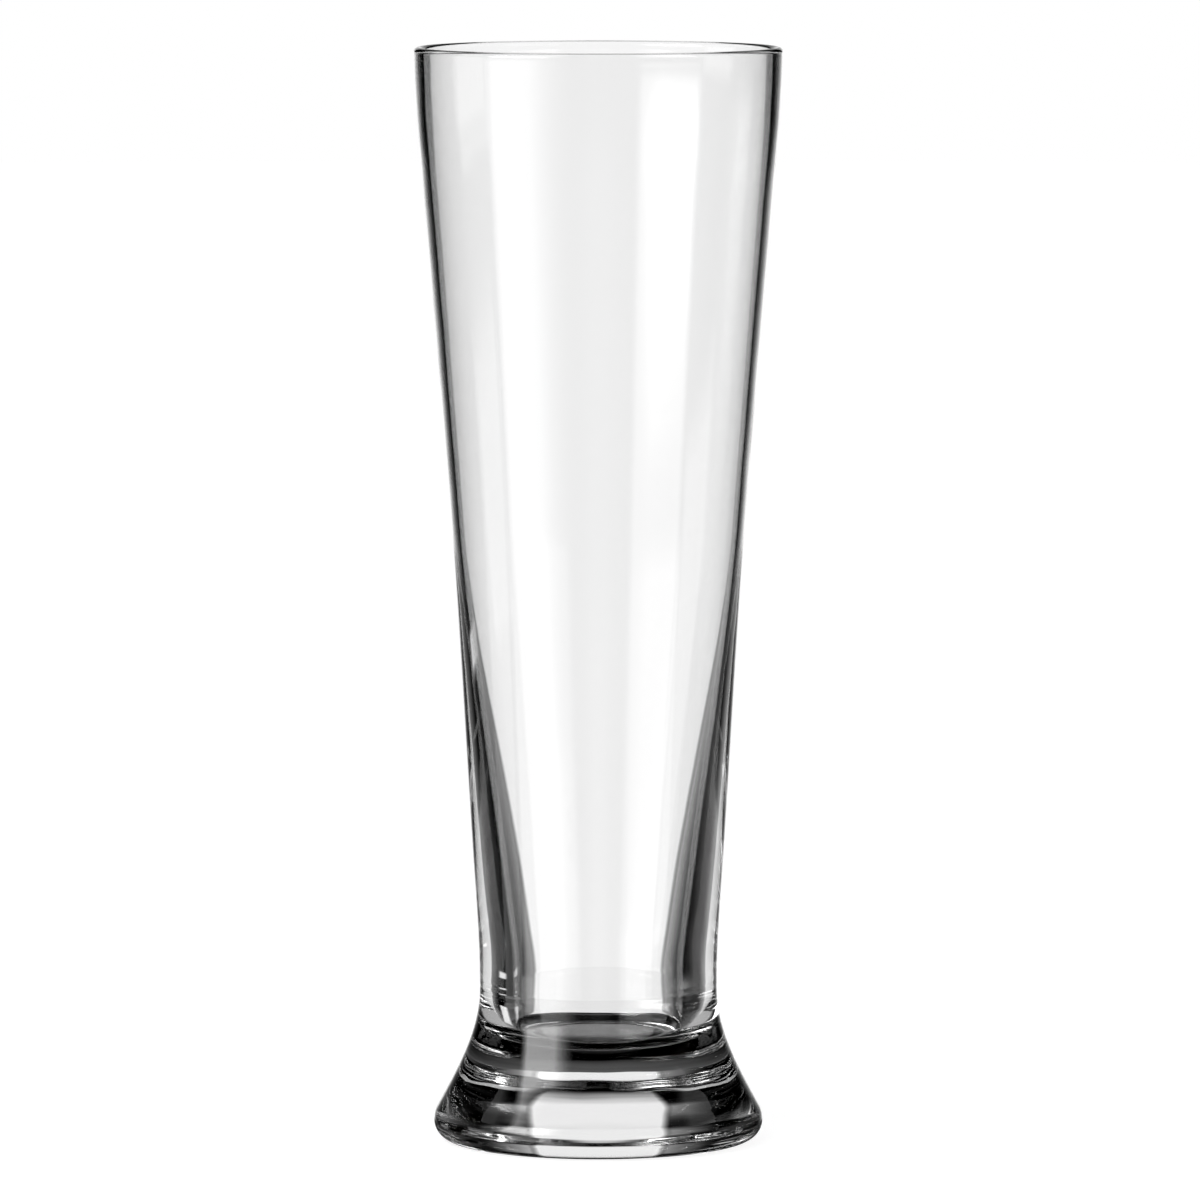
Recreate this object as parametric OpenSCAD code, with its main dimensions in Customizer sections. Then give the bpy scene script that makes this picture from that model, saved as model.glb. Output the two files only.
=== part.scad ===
// Pilsner glass: a tall tapered bowl welded hot onto a thick flared foot.
// Millimetres, +Z up, origin on the glass's axis at the table.
// Both pieces are turned from a half section, given as points [radius, height].

/* [Overall] */
// Height of the whole glass
glass_h = 216; // [200:0.5:240]
// Outside diameter over the lip
rim_d = 72.5; // [70:0.5:80]

/* [Lip] */
// Thickness of the lip, melted round by a flame
lip_t = 1.9; // [1.7:0.1:3]
// Depth below the rim where the lip's upright edge has run out into the wall
lip_run = 3; // [2:0.1:5]

/* [Bowl outside] */
// Outside diameter where the lip has run out
neck_d = 72.4; // [69:0.1:74]
// Lean of the wall there, from upright, in degrees
neck_lean = 1.4; // [0:0.1:3]
// Depth below the rim where the wall has its full taper
shoulder_drop = 28; // [20:1:40]
// Outside diameter there
shoulder_d = 68.8; // [65:0.1:71]
// Lean of the wall there, from upright, in degrees
shoulder_lean = 4.7; // [3:0.1:7]
// Height of the middle of the taper
middle_h = 122; // [105:1:140]
// Outside diameter there
middle_d = 57.8; // [54:0.1:62]
// Lean of the wall there, from upright, in degrees
middle_lean = 4.3; // [3:0.1:6]
// Height where the taper starts to straighten towards the waist
ankle_h = 48; // [42:0.5:60]
// Outside diameter there
ankle_d = 48.4; // [47:0.1:52]
// Lean of the wall there, from upright, in degrees
ankle_lean = 4; // [2:0.1:6]

/* [Bowl inside] */
// Wall thickness at the shoulder
wall_t = 1.7; // [1.4:0.1:2.6]
// Wall thickness at the middle of the taper, below which it grows
middle_t = 1.5; // [1.3:0.1:2.4]
// Height where the inside starts to straighten towards the floor
well_h = 40; // [36:0.5:50]
// Inside diameter there
well_d = 35; // [32:0.1:38]
// Lean of the inside of the wall there, from upright, in degrees
well_lean = 6.9; // [4:0.1:9]
// Height where the inside has become upright
upright_h = 32; // [28:0.5:36]
// Inside diameter at the floor
floor_d = 33.8; // [31:0.1:35]
// Height of the cavity's floor
floor_h = 18.5; // [17:0.5:21]
// Radius between the cavity's floor and its wall
floor_round = 4.2; // [2:0.1:6]

/* [Weld] */
// Height of the waist, where the weld comes out on the outside
waist_h = 30.5; // [28:0.5:34]
// Outside diameter of the waist
waist_d = 47; // [45:0.1:49]
// Height of the weld's lowest point, on the axis
weld_h = 9; // [7:0.5:10.5]

/* [Foot] */
// Largest diameter of the foot
foot_d = 65; // [62:0.1:72]
// Lean of the flare where it meets the foot's edge, from upright, in degrees
flare_lean = 29; // [20:0.5:40]
// Radius between the flare and the foot's edge
edge_round = 4.6; // [2:0.1:7]
// Height of the upright stretch of the foot's edge
edge_land = 0.4; // [0.1:0.1:3]
// Radius between the foot's edge and the bearing ring
heel_round = 3.8; // [2:0.1:5]
// Width of the ground bearing ring that the glass stands on
bearing_w = 10.4; // [4:0.1:14]
// Height of the hollow of the underside, on the axis
hollow_h = 0.4; // [0.2:0.1:3]

/* [Smoothness] */
// Straight steps along each long curve of the wall
wall_steps = 20; // [8:1:40]
// Straight steps along each round
round_steps = 12; // [6:1:24]

/* [Hidden] */
$fn = 120;

blown_glass = [0.90, 0.93, 0.94, 0.45];
pressed_glass = [0.84, 0.87, 0.89, 0.55];

// Stations of the wall, from the top down: [radius, height, lean]
lip_r = lip_t / 2;
lip_h = glass_h - lip_r;
neck_h = glass_h - lip_run;
shoulder_h = glass_h - shoulder_drop;
edge_h = heel_round + edge_land;
outside = [
    [rim_d / 2, lip_h, 0],
    [neck_d / 2, neck_h, neck_lean],
    [shoulder_d / 2, shoulder_h, shoulder_lean],
    [middle_d / 2, middle_h, middle_lean],
    [ankle_d / 2, ankle_h, ankle_lean],
    [waist_d / 2, waist_h, 0]
];
inside = [
    [rim_d / 2 - lip_t, lip_h, 0],
    [neck_d / 2 - lip_t, neck_h, neck_lean],
    [shoulder_d / 2 - wall_t, shoulder_h, shoulder_lean],
    [middle_d / 2 - middle_t, middle_h, middle_lean],
    [well_d / 2, well_h, well_lean],
    [floor_d / 2, upright_h, 0]
];

flare = [
    [waist_d / 2, waist_h, 0],
    [foot_d / 2 - edge_round * (1 - cos(flare_lean)), edge_h + edge_round * sin(flare_lean), -flare_lean]
];

// The weld is part of a sphere through the waist and the weld's lowest point
weld_rise = waist_h - weld_h;
weld_round = (pow(waist_d / 2, 2) + pow(weld_rise, 2)) / (2 * weld_rise);
weld_sweep = acos((weld_round - weld_rise) / weld_round);

// The underside's hollow is part of a sphere that meets the bearing ring
bearing_d = foot_d - 2 * heel_round;
hollow_d = bearing_d - 2 * bearing_w;
hollow_round = (pow(hollow_d / 2, 2) + pow(hollow_h, 2)) / (2 * hollow_h);
hollow_sweep = asin(hollow_d / 2 / hollow_round);

// Radius of the curve between two stations at a height
function span_radius(a, b, h) =
    let (drop = a[1] - b[1], t = (a[1] - h) / drop, u = 1 - t,
         upper = a[0] - tan(a[2]) * drop / 3,
         lower = b[0] + tan(b[2]) * drop / 3)
    u * u * u * a[0] + 3 * u * u * t * upper + 3 * u * t * t * lower + t * t * t * b[0];

// Points down a wall, from its first station to its last
function wall_points(wall) = [
    for (i = [0 : len(wall) - 2], k = [i == 0 ? 0 : 1 : wall_steps])
    let (h = wall[i][1] + (wall[i + 1][1] - wall[i][1]) * k / wall_steps)
    [span_radius(wall[i], wall[i + 1], h), h]
];

// Points along a round, at angles counted from the outward direction
function round_points(centre, r, from, to) = [
    for (k = [0 : round_steps])
    let (a = from + (to - from) * k / round_steps)
    centre + r * [cos(a), sin(a)]
];

function reversed(points) = [for (i = [len(points) - 1 : -1 : 0]) points[i]];

// The weld's half section, from the waist in to the axis
function weld_points() =
    round_points([0, weld_h + weld_round], weld_round, weld_sweep - 90, -90);

// The foot's outside, from the waist down to the bearing ring
function foot_points() = concat(
    wall_points(flare),
    round_points([foot_d / 2 - edge_round, edge_h], edge_round, flare_lean, 0),
    round_points([foot_d / 2 - heel_round, heel_round], heel_round, 0, -90)
);

// Blown cup: outside, lip, cavity and the round lower end that was set on the foot
module bowl() {
    color(blown_glass)
    rotate_extrude()
    polygon(concat(
        reversed(wall_points(outside)),
        round_points([rim_d / 2 - lip_r, lip_h], lip_r, 0, 180),
        wall_points(inside),
        round_points([floor_d / 2 - floor_round, floor_h + floor_round], floor_round, 0, -90),
        [[0, floor_h]],
        reversed(weld_points())
    ));
}

// Pressed solid foot: seat for the bowl, flare, edge, bearing ring and hollow underside
module foot() {
    color(pressed_glass)
    rotate_extrude()
    polygon(concat(
        reversed(weld_points()),
        foot_points(),
        round_points([0, hollow_h - hollow_round], hollow_round, 90 - hollow_sweep, 90)
    ));
}

bowl();
foot();
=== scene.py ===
import math
from collections import namedtuple

import bmesh
import bpy
from bpy.props import FloatProperty, IntProperty, PointerProperty, StringProperty
from mathutils import Matrix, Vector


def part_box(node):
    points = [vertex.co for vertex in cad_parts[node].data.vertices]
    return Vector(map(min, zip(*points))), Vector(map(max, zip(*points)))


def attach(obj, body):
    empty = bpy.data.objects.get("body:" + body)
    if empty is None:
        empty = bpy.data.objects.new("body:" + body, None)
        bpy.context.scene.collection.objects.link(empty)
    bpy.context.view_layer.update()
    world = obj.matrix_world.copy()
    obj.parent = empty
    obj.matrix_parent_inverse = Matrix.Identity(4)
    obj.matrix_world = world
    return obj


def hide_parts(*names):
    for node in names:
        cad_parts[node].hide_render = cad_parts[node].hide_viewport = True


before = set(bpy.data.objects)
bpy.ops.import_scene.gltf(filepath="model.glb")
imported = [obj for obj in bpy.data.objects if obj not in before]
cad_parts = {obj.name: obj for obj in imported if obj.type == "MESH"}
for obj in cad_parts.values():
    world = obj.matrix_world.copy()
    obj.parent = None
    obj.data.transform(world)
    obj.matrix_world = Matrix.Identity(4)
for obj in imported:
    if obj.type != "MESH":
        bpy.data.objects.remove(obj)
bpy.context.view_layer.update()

bl_info = {
    "name": "Pilsner Glass",
    "version": (1, 0, 0),
    "blender": (4, 5, 0),
    "location": "3D View > Sidebar > Glass",
    "description": "Makes a pilsner glass from its blown bowl and its pressed foot, with a studio stage",
    "category": "Object",
}

BOWL_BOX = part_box("bowl")
FOOT_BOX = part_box("foot")

MM = 0.001
FULL_TURN = 2 * math.pi
# Points closer than this are one point
MERGE = 1e-7
# Steps round the drum and the flat discs of the stage
STAGE_STEPS = 96
# Width of the camera's sensor in millimetres
SENSOR_W = 36
# Times that a ray may pass into or out of glass, and times that it may be mirrored
GLASS_BOUNCES = 32
MIRROR_BOUNCES = 16


def length(name, description, mm):
    """A size that is given in millimetres and kept in metres."""
    return FloatProperty(name=name, description=description, default=mm * MM, unit="LENGTH", precision=5)


def angle(name, description, degrees):
    """An angle that is given in degrees and kept in radians."""
    return FloatProperty(name=name, description=description, default=math.radians(degrees), subtype="ANGLE")


def number(name, description, value):
    """A plain number."""
    return FloatProperty(name=name, description=description, default=value)


def colour(name, description, hex_value):
    """A colour that is kept as an sRGB hex value."""
    return StringProperty(name=name, description=description, default=hex_value)


class GlassSizes(bpy.types.PropertyGroup):
    """Sizes of the bowl and the foot."""
    glass_h: length("Height", "Height of the whole glass", BOWL_BOX[1].z / MM)
    rim_d: length("Rim diameter", "Outside diameter over the lip", 2 * BOWL_BOX[1].x / MM)
    lip_t: length("Lip thickness", "Thickness of the lip, melted round by a flame", 1.9)
    lip_run: length("Lip run", "Depth below the rim where the lip's upright edge has run out", 3)
    neck_d: length("Neck diameter", "Outside diameter where the lip has run out", 72.4)
    neck_lean: angle("Neck lean", "Lean of the wall there, from upright", 1.4)
    shoulder_drop: length("Shoulder drop", "Depth below the rim where the wall has its full taper", 28)
    shoulder_d: length("Shoulder diameter", "Outside diameter there", 68.8)
    shoulder_lean: angle("Shoulder lean", "Lean of the wall there, from upright", 4.7)
    middle_h: length("Middle height", "Height of the middle of the taper", 122)
    middle_d: length("Middle diameter", "Outside diameter there", 57.8)
    middle_lean: angle("Middle lean", "Lean of the wall there, from upright", 4.3)
    ankle_h: length("Ankle height", "Height where the taper starts to straighten towards the waist", 48)
    ankle_d: length("Ankle diameter", "Outside diameter there", 48.4)
    ankle_lean: angle("Ankle lean", "Lean of the wall there, from upright", 4)
    wall_t: length("Wall thickness", "Thickness at the shoulder", 1.7)
    middle_t: length("Middle thickness", "Thickness at the middle of the taper, below which it grows", 1.5)
    well_h: length("Well height", "Height where the inside starts to straighten towards the floor", 40)
    well_d: length("Well diameter", "Inside diameter there", 35)
    well_lean: angle("Well lean", "Lean of the inside there, from upright", 6.9)
    upright_h: length("Upright height", "Height where the inside has become upright", 32)
    floor_d: length("Floor diameter", "Inside diameter at the cavity's floor", 33.8)
    floor_h: length("Floor height", "Height of the cavity's floor", 18.5)
    floor_round: length("Floor round", "Radius between the cavity's floor and its wall", 4.2)
    waist_h: length("Waist height", "Height where the weld comes out on the outside", FOOT_BOX[1].z / MM)
    waist_d: length("Waist diameter", "Outside diameter of the waist", 47)
    weld_h: length("Weld height", "Height of the weld's lowest point, on the axis", 9)
    seam_w: length("Seam width", "Half the width of the shallow groove where the weld comes out", 0.8)
    seam_t: length("Seam depth", "Depth of that groove", 0.03)
    foot_d: length("Foot diameter", "Largest diameter of the foot", 2 * FOOT_BOX[1].x / MM)
    flare_lean: angle("Flare lean", "Lean of the flare where it meets the foot's edge, from upright", 29)
    edge_round: length("Edge round", "Radius between the flare and the foot's edge", 4.6)
    edge_land: length("Edge land", "Height of the upright stretch of the foot's edge", 0.4)
    heel_round: length("Heel round", "Radius between the foot's edge and the bearing ring", 3.8)
    bearing_w: length("Bearing width", "Width of the bearing ring that the glass stands on", 10.4)
    hollow_h: length("Hollow height", "Height of the hollow of the underside, on the axis", 0.4)
    turn_steps: IntProperty(name="Turn steps", description="Steps of the turn about the axis", default=128)
    wall_steps: IntProperty(name="Wall steps", description="Steps along each long curve", default=24)
    round_steps: IntProperty(name="Round steps", description="Steps along each round", default=18)


class GlassFinish(bpy.types.PropertyGroup):
    """Finish of the two kinds of glass."""
    thin: colour("Thin glass", "What the thin wall of the bowl lets through", "#FFFFFF")
    thick: colour("Thick glass", "What the thick glass of the foot lets through", "#F4F4F4")
    ior: number("IOR", "Refractive index of soda-lime glass", 1.52)
    wave_len: length("Wave length", "Length of the waves in the surface of the blown wall", 14)
    wave_depth: length("Wave depth", "Depth of those waves", 0.02)


class Studio(bpy.types.PropertyGroup):
    """Camera, floor and light of the stage."""
    camera_back: length("Camera distance", "Distance of the camera in front of the axis", 1930.3)
    camera_h: length("Camera height", "Height of the camera above the floor", 287)
    camera_dip: angle("Camera dip", "Angle that the camera looks down", 5.327)
    lens: number("Lens", "Focal length on a 36 mm wide sensor", 294.9)
    shift: number("Shift", "Sideways shift of the picture's frame", 0.0014)
    drum_r: length("Drum radius", "Distance of the black drum from the axis", 3000)
    floor_d: length("Floor diameter", "Diameter of the floor that the camera sees", 8000)
    floor_drop: length("Floor drop", "Gap between the foot of the glass and the floor", 0.1)
    floor_glow: number("Floor glow", "Level of the floor to the camera", 0.88)
    floor_tint: colour("Floor colour", "Colour of the floor's paper, under its glow", "#898989")
    # The plinth's dark middle is a painted contact shadow under the foot, and the light towards its rim is
    # painted glow
    plinth_d: length("Plinth diameter", "Diameter of the plinth with painted contact shadow under the glass", 92)
    plinth_shadow_d: length("Plinth's dark diameter", "Diameter of the plinth's unlit middle", 73.6)
    plinth_drop: length("Plinth drop", "Gap between the foot of the glass and the plinth", 0.2)
    plinth_painted_glow: number("Plinth glow", "Level of the plinth at its rim", 0.11)
    ground_d: length("Ground diameter", "Diameter of the white paper on the ground", 5800)
    ground_drop: length("Ground drop", "Depth of the ground below the foot of the glass", 2900)
    ground_glow: number("Ground glow", "Level of the ground to the glass", 0.9)
    fill: number("Fill", "Level of the plain light on matt surfaces", 0.5)
    lamp_size: length("Lamp size", "Side of the soft lamp", 800)
    lamp_power: number("Lamp power", "Power of the soft lamp in watts", 9)
    lamp_left: length("Lamp left", "Distance of the lamp to the left of the axis", 700)
    lamp_front: length("Lamp front", "Distance of the lamp in front of the axis", 600)
    lamp_h: length("Lamp height", "Height of the lamp above the floor", 1000)


def linear(hex_value):
    """An sRGB hex value as a linear colour."""
    channels = [int(hex_value[i:i + 2], 16) / 255 for i in (1, 3, 5)]
    return [c / 12.92 if c <= 0.04045 else ((c + 0.055) / 1.055) ** 2.4 for c in channels] + [1.0]


def add_node(tree, kind, inputs=None, **settings):
    """Add a node, set its attributes, and fill its inputs with values or with links from other nodes."""
    node = tree.nodes.new(kind)
    for name, value in settings.items():
        setattr(node, name, value)
    for socket, value in (inputs or {}).items():
        if isinstance(value, bpy.types.NodeSocket):
            tree.links.new(value, node.inputs[socket])
        else:
            node.inputs[socket].default_value = value
    return node


def new_material(name):
    """An empty material and its node tree."""
    material = bpy.data.materials.new(name)
    material.use_nodes = True
    material.node_tree.nodes.clear()
    return material, material.node_tree


def span_radius(upper, lower, height):
    """Radius of the smooth curve between two stations [radius, height, lean] at a height."""
    drop = upper[1] - lower[1]
    t = (upper[1] - height) / drop
    u = 1 - t
    first = upper[0] - math.tan(upper[2]) * drop / 3
    second = lower[0] + math.tan(lower[2]) * drop / 3
    return u ** 3 * upper[0] + 3 * u * u * t * first + 3 * u * t * t * second + t ** 3 * lower[0]


def wall_points(stations, steps):
    """Points [radius, height] down a wall, from its first station to its last."""
    points = [stations[0][:2]]
    for upper, lower in zip(stations, stations[1:]):
        for k in range(1, steps + 1):
            height = upper[1] + (lower[1] - upper[1]) * k / steps
            points.append((span_radius(upper, lower, height), height))
    return points


def round_points(centre, radius, start, end, steps):
    """Points along a round, at angles in degrees counted from the outward direction."""
    angles = [math.radians(start + (end - start) * k / steps) for k in range(steps + 1)]
    return [(centre[0] + radius * math.cos(a), centre[1] + radius * math.sin(a)) for a in angles]


def outside_stations(s):
    """Stations of the bowl's outside, from the lip down to the waist."""
    return [
        (s.rim_d / 2, s.glass_h - s.lip_t / 2, 0),
        (s.neck_d / 2, s.glass_h - s.lip_run, s.neck_lean),
        (s.shoulder_d / 2, s.glass_h - s.shoulder_drop, s.shoulder_lean),
        (s.middle_d / 2, s.middle_h, s.middle_lean),
        (s.ankle_d / 2, s.ankle_h, s.ankle_lean),
        (s.waist_d / 2, s.waist_h + s.seam_w, 0),
        (s.waist_d / 2 - s.seam_t, s.waist_h, 0),
    ]


def inside_stations(s):
    """Stations of the bowl's inside, from the lip down to where it is upright."""
    return [
        (s.rim_d / 2 - s.lip_t, s.glass_h - s.lip_t / 2, 0),
        (s.neck_d / 2 - s.lip_t, s.glass_h - s.lip_run, s.neck_lean),
        (s.shoulder_d / 2 - s.wall_t, s.glass_h - s.shoulder_drop, s.shoulder_lean),
        (s.middle_d / 2 - s.middle_t, s.middle_h, s.middle_lean),
        (s.well_d / 2, s.well_h, s.well_lean),
        (s.floor_d / 2, s.upright_h, 0),
    ]


def weld_points(s):
    """The weld's half section, part of a sphere, from the waist in to the axis."""
    rise = s.waist_h - s.weld_h
    radius = ((s.waist_d / 2 - s.seam_t) ** 2 + rise ** 2) / (2 * rise)
    sweep = math.degrees(math.acos((radius - rise) / radius))
    return round_points((0, s.weld_h + radius), radius, sweep - 90, -90, s.round_steps)


def bowl_skin(s):
    """The bowl's outside, lip, inside and floor, from the waist to the axis."""
    lip_r = s.lip_t / 2
    floor_centre = (s.floor_d / 2 - s.floor_round, s.floor_h + s.floor_round)
    return (
        wall_points(outside_stations(s), s.wall_steps)[::-1]
        + round_points((s.rim_d / 2 - lip_r, s.glass_h - lip_r), lip_r, 0, 180, s.round_steps)
        + wall_points(inside_stations(s), s.wall_steps)
        + round_points(floor_centre, s.floor_round, 0, -90, s.round_steps)
        + [(0, s.floor_h)]
    )


def foot_skin(s):
    """The foot's flare, edge, heel, bearing ring and hollow, from the waist to the axis."""
    edge_h = s.heel_round + s.edge_land
    seam = (s.waist_d / 2 - s.seam_t, s.waist_h, 0)
    flare_end = (
        s.foot_d / 2 - s.edge_round * (1 - math.cos(s.flare_lean)),
        edge_h + s.edge_round * math.sin(s.flare_lean),
        -s.flare_lean,
    )
    hollow_r = s.foot_d / 2 - s.heel_round - s.bearing_w
    hollow_round = (hollow_r ** 2 + s.hollow_h ** 2) / (2 * s.hollow_h)
    sweep = math.degrees(math.asin(hollow_r / hollow_round))
    edge_centre = (s.foot_d / 2 - s.edge_round, edge_h)
    heel_centre = (s.foot_d / 2 - s.heel_round, s.heel_round)
    hollow_centre = (0, s.hollow_h - hollow_round)
    return (
        wall_points([seam, (s.waist_d / 2, s.waist_h - s.seam_w, 0), flare_end], s.wall_steps)
        + round_points(edge_centre, s.edge_round, math.degrees(s.flare_lean), 0, s.round_steps)
        + round_points(heel_centre, s.heel_round, 0, -90, s.round_steps)
        + round_points(hollow_centre, hollow_round, 90 - sweep, 90, s.round_steps)
    )


def turn(bm, points, slot, steps):
    """Spin a half section about the axis and put its faces in a material slot."""
    made_before = set(bm.faces)
    rail = [bm.verts.new((radius, 0, height)) for radius, height in points]
    edges = [bm.edges.new(pair) for pair in zip(rail, rail[1:])]
    bmesh.ops.spin(bm, geom=rail + edges, cent=(0, 0, 0), axis=(0, 0, 1), angle=FULL_TURN, steps=steps,
                   use_merge=True)
    for face in set(bm.faces) - made_before:
        face.material_index = slot
        face.smooth = True


def link_piece(bm, name, materials):
    """Close a mesh, keep the seam between its materials sharp, and link it as an object."""
    bmesh.ops.remove_doubles(bm, verts=bm.verts, dist=MERGE)
    bmesh.ops.recalc_face_normals(bm, faces=bm.faces)
    for edge in bm.edges:
        edge.smooth = len({face.material_index for face in edge.link_faces}) == 1
    mesh = bpy.data.meshes.new(name)
    bm.to_mesh(mesh)
    bm.free()
    for material in materials:
        mesh.materials.append(material)
    piece = bpy.data.objects.new(name, mesh)
    bpy.context.scene.collection.objects.link(piece)
    return piece


def blown_glass(finish):
    """Blown soda-lime glass, fire-polished: clear, with the faint waves that blowing leaves."""
    material, tree = new_material("blown soda-lime glass")
    place = add_node(tree, "ShaderNodeTexCoord")
    waves = add_node(tree, "ShaderNodeTexNoise", {
        "Vector": place.outputs["Object"], "Scale": 1 / finish.wave_len, "Detail": 1.0})
    bump = add_node(tree, "ShaderNodeBump", {
        "Height": waves.outputs["Fac"], "Strength": 1.0, "Distance": finish.wave_depth})
    shader = add_node(tree, "ShaderNodeBsdfPrincipled", {
        "Base Color": linear(finish.thin), "Transmission Weight": 1.0, "IOR": finish.ior, "Roughness": 0.0,
        "Normal": bump.outputs["Normal"]})
    add_node(tree, "ShaderNodeOutputMaterial", {"Surface": shader.outputs["BSDF"]})
    return material


# Ripples in pressed glass: their length round the foot, their height and their depth, in millimetres
Ripple = namedtuple("Ripple", "around upward depth")
RINGS = Ripple(12, 0.7, 0.003)
WAVES = Ripple(7, 3.5, 0.05)


def pressed_glass(finish):
    """Pressed soda-lime glass: clear, with the waves and the fine rings that the cool mould leaves."""
    material, tree = new_material("pressed soda-lime glass")
    place = add_node(tree, "ShaderNodeTexCoord")
    shader = add_node(tree, "ShaderNodeBsdfPrincipled", {
        "Base Color": linear(finish.thick), "Transmission Weight": 1.0, "IOR": finish.ior, "Roughness": 0.0})
    normal = shader.inputs["Normal"]
    for ripple in (RINGS, WAVES):
        across = 1 / (ripple.around * MM)
        stretch = add_node(tree, "ShaderNodeMapping", {
            "Vector": place.outputs["Object"], "Scale": (across, across, 1 / (ripple.upward * MM))})
        waves = add_node(tree, "ShaderNodeTexNoise", {
            "Vector": stretch.outputs["Vector"], "Scale": 1.0, "Detail": 0.0})
        bump = add_node(tree, "ShaderNodeBump", {
            "Height": waves.outputs["Fac"], "Strength": 1.0, "Distance": ripple.depth * MM})
        tree.links.new(bump.outputs["Normal"], normal)
        normal = bump.inputs["Normal"]
    add_node(tree, "ShaderNodeOutputMaterial", {"Surface": shader.outputs["BSDF"]})
    return material


def weld_seam():
    """Hot weld: the two glasses have run together, so light crosses it without bending."""
    material, tree = new_material("hot weld in soda-lime glass")
    shader = add_node(tree, "ShaderNodeBsdfTransparent")
    add_node(tree, "ShaderNodeOutputMaterial", {"Surface": shader.outputs["BSDF"]})
    return material


class MakeBowl(bpy.types.Operator):
    """Make the blown bowl in place of its solid"""
    bl_idname = "object.make_blown_bowl"
    bl_label = "Blown bowl"

    def execute(self, context):
        sizes = context.scene.glass_sizes
        bm = bmesh.new()
        turn(bm, bowl_skin(sizes), 0, sizes.turn_steps)
        turn(bm, weld_points(sizes), 1, sizes.turn_steps)
        bowl = link_piece(bm, "blown_bowl", [blown_glass(context.scene.glass_finish), weld_seam()])
        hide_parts("bowl")
        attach(bowl, "root")
        return {"FINISHED"}


class MakeFoot(bpy.types.Operator):
    """Make the pressed foot in place of its solid"""
    bl_idname = "object.make_pressed_foot"
    bl_label = "Pressed foot"

    def execute(self, context):
        sizes = context.scene.glass_sizes
        bm = bmesh.new()
        turn(bm, foot_skin(sizes), 0, sizes.turn_steps)
        turn(bm, weld_points(sizes), 1, sizes.turn_steps)
        foot = link_piece(bm, "pressed_foot", [pressed_glass(context.scene.glass_finish), weld_seam()])
        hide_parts("foot")
        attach(foot, "root")
        return {"FINISHED"}


# A light card round the glass, at a distance from its axis. Bearings are in degrees, clockwise from straight
# behind the glass, and lengths are in metres. Each fade is the width over which the light dies away to that
# edge.
Card = namedtuple("Card", [
    "name", "distance", "start", "end", "bottom", "top", "level",
    "fade_start", "fade_end", "fade_bottom", "fade_top"], defaults=(0, 0, 0, 0))
NEAR = 0.9
FAR = 2.6
# Step between the distances of one card and the next
CARD_GAP = 0.002
# Fewest steps along a card. A wide card has one for each degree
CARD_STEPS = 4
# Power of the curve along which the light dies away
FADE_POWER = 2.0

# The back panel, the wings, the softbox, the lamp and right_window give the bands of light that the
# photograph shows in the glass, and the side, the tops and the fill add soft light between them. The other
# windows aren't taken from the photograph. They make the glass look clear from other sides.
CARDS = [
    Card("back_panel", NEAR, -17, 17, -0.6, 0.78, 1.0, fade_start=2.5, fade_end=2.5, fade_top=0.58),
    Card("right_wing", NEAR, 14.5, 34, -0.6, 0.22, 0.45, fade_start=2.5, fade_end=17, fade_top=0.12),
    Card("right_side", NEAR, 30, 96, -0.2, 0.16, 0.3,
         fade_start=40, fade_end=10, fade_bottom=0.12, fade_top=0.08),
    Card("right_top", NEAR, 20, 110, 0.5, 1.5, 0.5, fade_start=10, fade_end=10),
    Card("right_window", NEAR, 112, 158, -0.6, 0.16, 1.0, fade_start=2, fade_end=6, fade_top=0.04),
    Card("front_fill", NEAR, 150, 210, -0.6, 0.16, 0.25, fade_start=25, fade_end=25, fade_top=0.16),
    Card("left_softbox", FAR, 193, 258, -1.2, 0.3, 1.9, fade_start=32, fade_end=5, fade_top=0.3),
    Card("left_lamp", FAR, 203, 258, 0.2, 2.5, 7.0,
         fade_start=20, fade_end=8, fade_bottom=0.4, fade_top=0.6),
    Card("left_window", NEAR, 258, 283, -0.2, 0.03, 0.9, fade_end=3, fade_bottom=0.04, fade_top=0.035),
    Card("side_window", FAR, 256, 285, -0.22, 0.3, 1.0,
         fade_start=1, fade_end=3, fade_bottom=0.06, fade_top=0.04),
    Card("left_top", NEAR, 260, 340, 0.5, 1.5, 0.5, fade_start=10, fade_end=10),
    Card("rim_window", NEAR, 306, 328, -0.165, -0.11, 0.85,
         fade_start=6, fade_end=6, fade_bottom=0.015, fade_top=0.01),
    Card("low_window", FAR, 307, 329, -2.0, -0.84, 1.0, fade_start=6, fade_end=4, fade_top=0.02),
    Card("left_wing", NEAR, 326, 345.5, -0.6, 0.22, 0.28, fade_start=17, fade_end=2.5, fade_top=0.12),
]


def turn_matrix(degrees):
    """A clockwise turn about the axis, seen from above."""
    return Matrix.Rotation(-math.radians(degrees), 3, "Z")


def black_velvet():
    """Black velvet: it gives nothing back, so the glass shows it as its dark edges."""
    material, tree = new_material("black velvet")
    shader = add_node(tree, "ShaderNodeEmission", {"Strength": 0.0})
    add_node(tree, "ShaderNodeOutputMaterial", {"Surface": shader.outputs["Emission"]})
    return material


def ground_paper(studio):
    """White paper on the ground, far below the plinth: glass that is seen from above shows it."""
    material, tree = new_material("white ground paper")
    shader = add_node(tree, "ShaderNodeEmission", {"Strength": studio.ground_glow})
    add_node(tree, "ShaderNodeOutputMaterial", {"Surface": shader.outputs["Emission"]})
    return material


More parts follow.
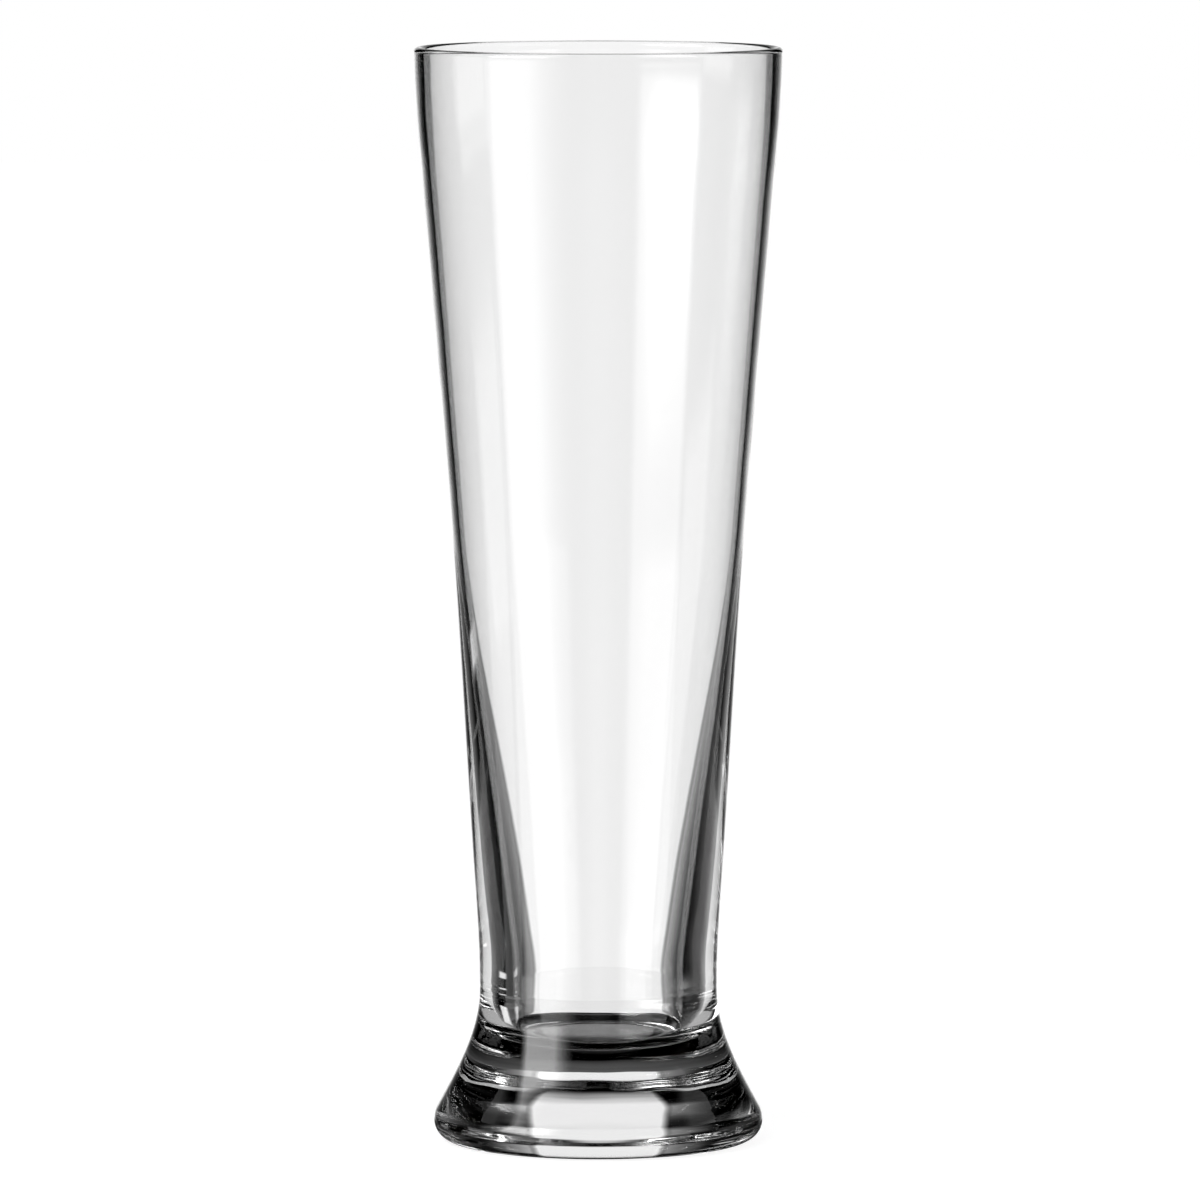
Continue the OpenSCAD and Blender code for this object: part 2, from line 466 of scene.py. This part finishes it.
def plinth_painted_shadow(studio):
    """Painted contact shadow on a dark disc: unlit under the glass, with a little painted light on it that
    rises towards its rim.
    """
    material, tree = new_material("plinth with painted contact shadow")
    place = add_node(tree, "ShaderNodeTexCoord")
    out = add_node(tree, "ShaderNodeVectorMath", {0: place.outputs["Object"]}, operation="LENGTH")
    level = add_node(tree, "ShaderNodeMapRange", {
        "Value": out.outputs["Value"], "From Min": studio.plinth_shadow_d / 2, "From Max": studio.plinth_d / 2,
        "To Max": studio.plinth_painted_glow})
    shader = add_node(tree, "ShaderNodeEmission", {"Strength": level.outputs[0]})
    add_node(tree, "ShaderNodeOutputMaterial", {"Surface": shader.outputs["Emission"]})
    return material


def card_light(card):
    """Lit gauze: a glow that dies away at the faded edges and adds to what is behind it."""
    material, tree = new_material(card.name)
    place = add_node(tree, "ShaderNodeTexCoord")
    split = add_node(tree, "ShaderNodeSeparateXYZ", {"Vector": place.outputs["Object"]})
    bearing = add_node(tree, "ShaderNodeMath", {0: split.outputs["X"], 1: split.outputs["Y"]},
                       operation="ARCTAN2")
    middle = math.radians((card.start + card.end) / 2)
    # Bearings are counted half a turn to either side of the card's middle
    turned = add_node(tree, "ShaderNodeMath", {
        0: bearing.outputs[0], 1: middle + math.pi, 2: middle - math.pi}, operation="WRAP")
    across = turned.outputs[0]
    up = split.outputs["Z"]
    fades = [
        (across, math.radians(card.start), math.radians(card.fade_start)),
        (across, math.radians(card.end), -math.radians(card.fade_end)),
        (up, card.bottom, card.fade_bottom),
        (up, card.top, -card.fade_top),
    ]
    level = card.level
    for position, edge, width in fades:
        if width:
            ramp = add_node(tree, "ShaderNodeMapRange", {
                "Value": position, "From Min": edge, "From Max": edge + width})
            fall = add_node(tree, "ShaderNodeMath", {0: ramp.outputs[0], 1: FADE_POWER}, operation="POWER")
            dimmed = add_node(tree, "ShaderNodeMath", {0: level, 1: fall.outputs[0]}, operation="MULTIPLY")
            level = dimmed.outputs[0]
    light = add_node(tree, "ShaderNodeEmission", {"Strength": level})
    gauze = add_node(tree, "ShaderNodeBsdfTransparent")
    both = add_node(tree, "ShaderNodeAddShader", {0: light.outputs[0], 1: gauze.outputs[0]})
    add_node(tree, "ShaderNodeOutputMaterial", {"Surface": both.outputs[0]})
    return material


def stage_piece(bm, name, material, camera=False):
    """Link a piece of the stage. The camera sees it and the glass doesn't, or the other way round."""
    piece = link_piece(bm, name, [material])
    if camera:
        piece.visible_glossy = False
        piece.visible_transmission = False
    else:
        piece.visible_camera = False
        piece.visible_diffuse = False
        piece.visible_shadow = False
    return piece


def make_card(card, layer):
    """A curved light card, set a little in front of the card before it."""
    bm = bmesh.new()
    radius = card.distance - layer * CARD_GAP
    sweep = card.end - card.start
    post = [bm.verts.new((0, radius, height)) for height in (card.bottom, card.top)]
    edge = bm.edges.new(post)
    bmesh.ops.rotate(bm, verts=post, cent=(0, 0, 0), matrix=turn_matrix(card.start))
    bmesh.ops.spin(bm, geom=post + [edge], cent=(0, 0, 0), axis=(0, 0, -1), angle=math.radians(sweep),
                   steps=max(CARD_STEPS, round(sweep)))
    stage_piece(bm, card.name, card_light(card))


def make_drum(radius):
    """Black drum round the glass, which hides the world's white from it and gives it its dark edges."""
    bm = bmesh.new()
    bmesh.ops.create_cone(bm, cap_ends=True, segments=STAGE_STEPS, radius1=radius, radius2=radius,
                          depth=2 * radius)
    stage_piece(bm, "black_drum", black_velvet())


def make_disc(name, radius, height, material, camera=False):
    """A flat round sheet."""
    bm = bmesh.new()
    bmesh.ops.create_circle(bm, cap_ends=True, radius=radius, segments=STAGE_STEPS)
    bmesh.ops.translate(bm, verts=bm.verts, vec=(0, 0, height))
    stage_piece(bm, name, material, camera)


def floor_paper(studio):
    """Matt white paper: it glows to the camera, so that it stays white, and takes the glass's shadow."""
    material, tree = new_material("matt white paper")
    path = add_node(tree, "ShaderNodeLightPath")
    level = add_node(tree, "ShaderNodeMath", {
        0: path.outputs["Is Camera Ray"], 1: studio.floor_glow}, operation="MULTIPLY")
    light = add_node(tree, "ShaderNodeEmission", {"Strength": level.outputs[0]})
    matt = add_node(tree, "ShaderNodeBsdfDiffuse", {"Color": linear(studio.floor_tint)})
    both = add_node(tree, "ShaderNodeAddShader", {0: light.outputs[0], 1: matt.outputs[0]})
    add_node(tree, "ShaderNodeOutputMaterial", {"Surface": both.outputs[0]})
    return material


def make_world(studio):
    """White to the camera, and to glass where no drum is in the way, and a plain level for matt surfaces."""
    world = bpy.data.worlds.new("white studio")
    world.use_nodes = True
    tree = world.node_tree
    tree.nodes.clear()
    path = add_node(tree, "ShaderNodeLightPath")
    glass = add_node(tree, "ShaderNodeMath", {
        0: path.outputs["Is Transmission Ray"], 1: path.outputs["Is Glossy Ray"]}, operation="MAXIMUM")
    seen = add_node(tree, "ShaderNodeMath", {0: glass.outputs[0], 1: path.outputs["Is Camera Ray"]},
                    operation="MAXIMUM")
    level = add_node(tree, "ShaderNodeMapRange", {
        "Value": seen.outputs[0], "To Min": studio.fill, "To Max": 1.0})
    back = add_node(tree, "ShaderNodeBackground", {
        "Color": linear("#FFFFFF"), "Strength": level.outputs[0]})
    add_node(tree, "ShaderNodeOutputWorld", {"Surface": back.outputs[0]})
    bpy.context.scene.world = world


def make_lamp(studio):
    """Large soft lamp, high at the left front, that gives the glass its shadow on the floor."""
    data = bpy.data.lights.new("soft_lamp", "AREA")
    data.size = studio.lamp_size
    data.energy = studio.lamp_power
    lamp = bpy.data.objects.new("soft_lamp", data)
    lamp.location = (-studio.lamp_left, -studio.lamp_front, studio.lamp_h)
    lamp.rotation_euler = (-lamp.location).to_track_quat("-Z", "Y").to_euler()
    lamp.visible_camera = False
    lamp.visible_glossy = False
    lamp.visible_transmission = False
    bpy.context.scene.collection.objects.link(lamp)


class MakeStage(bpy.types.Operator):
    """Make the floor, the drum, the cards, the lamp and the camera"""
    bl_idname = "scene.make_glass_stage"
    bl_label = "Stage"

    def execute(self, context):
        scene = context.scene
        studio = scene.studio
        make_world(studio)
        make_lamp(studio)
        make_disc("floor", studio.floor_d / 2, -studio.floor_drop, floor_paper(studio), camera=True)
        # Dark disc under the glass, seen only by the glass, with a painted contact shadow and painted glow
        make_disc("plinth", studio.plinth_d / 2, -studio.plinth_drop, plinth_painted_shadow(studio))
        make_drum(studio.drum_r)
        make_disc("ground", studio.ground_d / 2, -studio.ground_drop, ground_paper(studio))
        for layer, card in enumerate(CARDS):
            make_card(card, layer)
        camera_data = bpy.data.cameras.new("camera")
        camera_data.sensor_fit = "HORIZONTAL"
        camera_data.sensor_width = SENSOR_W
        camera_data.lens = studio.lens
        camera_data.shift_x = studio.shift
        camera = bpy.data.objects.new("camera", camera_data)
        camera.location = (0, -studio.camera_back, studio.camera_h)
        camera.rotation_euler = (math.pi / 2 - studio.camera_dip, 0, 0)
        scene.collection.objects.link(camera)
        scene.camera = camera
        scene.view_settings.view_transform = "Standard"
        scene.cycles.max_bounces = GLASS_BOUNCES
        scene.cycles.transmission_bounces = GLASS_BOUNCES
        scene.cycles.transparent_max_bounces = GLASS_BOUNCES
        scene.cycles.glossy_bounces = MIRROR_BOUNCES
        return {"FINISHED"}


class GlassPanel(bpy.types.Panel):
    """Buttons that make the glass and its stage."""
    bl_idname = "VIEW3D_PT_pilsner_glass"
    bl_label = "Pilsner Glass"
    bl_space_type = "VIEW_3D"
    bl_region_type = "UI"
    bl_category = "Glass"

    def draw(self, context):
        for operator in (MakeBowl, MakeFoot, MakeStage):
            self.layout.operator(operator.bl_idname)


CLASSES = (GlassSizes, GlassFinish, Studio, MakeBowl, MakeFoot, MakeStage, GlassPanel)


def register():
    for cls in CLASSES:
        bpy.utils.register_class(cls)
    bpy.types.Scene.glass_sizes = PointerProperty(type=GlassSizes)
    bpy.types.Scene.glass_finish = PointerProperty(type=GlassFinish)
    bpy.types.Scene.studio = PointerProperty(type=Studio)


def unregister():
    for name in ("glass_sizes", "glass_finish", "studio"):
        delattr(bpy.types.Scene, name)
    for cls in reversed(CLASSES):
        bpy.utils.unregister_class(cls)


def main():
    register()
    bpy.ops.object.make_blown_bowl()
    bpy.ops.object.make_pressed_foot()
    bpy.ops.scene.make_glass_stage()


if __name__ == "__main__":
    main()
